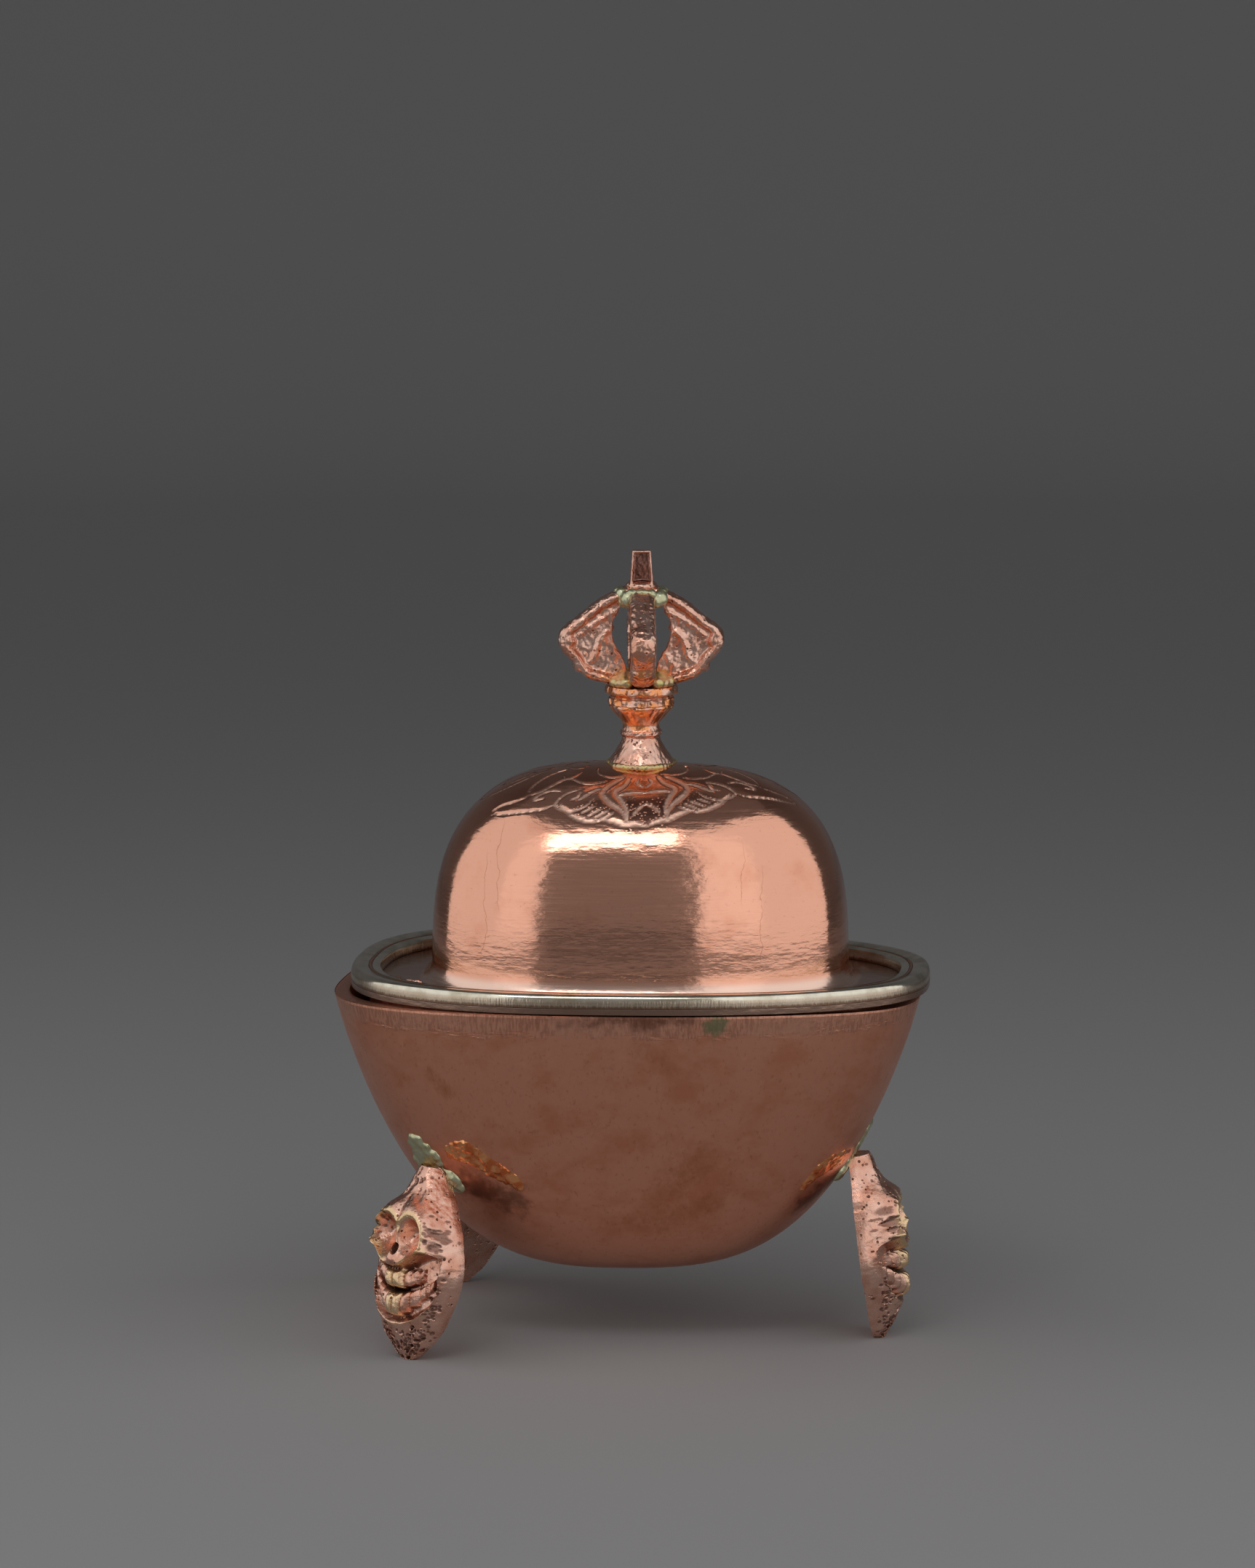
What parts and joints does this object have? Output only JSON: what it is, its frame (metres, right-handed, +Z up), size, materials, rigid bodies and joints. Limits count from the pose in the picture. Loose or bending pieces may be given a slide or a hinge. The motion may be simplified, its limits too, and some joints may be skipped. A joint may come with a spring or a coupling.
{
  "type": "skull cup",
  "caption": "Oval copper bowl on three skull-mask feet, with a lift-off domed lid, a white metal rim and a half-vajra finial.",
  "frame": {"origin": "on the floor, under the middle of the overall box", "axes": "+Z up along the finial, +X along the long axis of the oval towards the single foot"},
  "size_m": [0.075, 0.0482, 0.1],
  "materials": {
    "bowl_copper": "satin hammered copper with file marks under the rim and heat colour round the feet",
    "lid_copper": "polished copper with fine scratches and a chased leaf ornament round the finial",
    "cast_copper": "cast copper, pitted, dark in the recesses",
    "white_metal": "filed and rubbed white metal with a copper seam",
    "braze": "pale yellow-green brazing metal"
  },
  "bodies": {
    "cup": {"bowl": "bowl_copper", "skull_foot_right": "cast_copper", "skull_foot_back_left": "cast_copper", "skull_foot_front_left": "cast_copper", "foot_braze_right": "braze", "foot_braze_back_left": "braze", "foot_braze_front_left": "braze"},
    "lid": {"lid_shell": "lid_copper", "lid_rim_outer": "white_metal", "lid_rim_inner": "white_metal", "lid_collar": "bowl_copper", "finial_stem": "cast_copper", "vajra_centre_prong": "cast_copper", "finial_base_braze": "braze", "prong_tip_braze": "braze", "vajra_prong_right": "cast_copper", "vajra_prong_back": "cast_copper", "vajra_prong_left": "cast_copper", "vajra_prong_front": "cast_copper", "root_braze_right": "braze", "root_braze_back": "braze", "root_braze_left": "braze", "root_braze_front": "braze"}
  },
  "joints": [
    {"name": "lid_lift", "type": "slide", "parent": "cup", "child": "lid", "axis": [0, 0, 1], "range_m": [0, 0.045]}
  ]
}
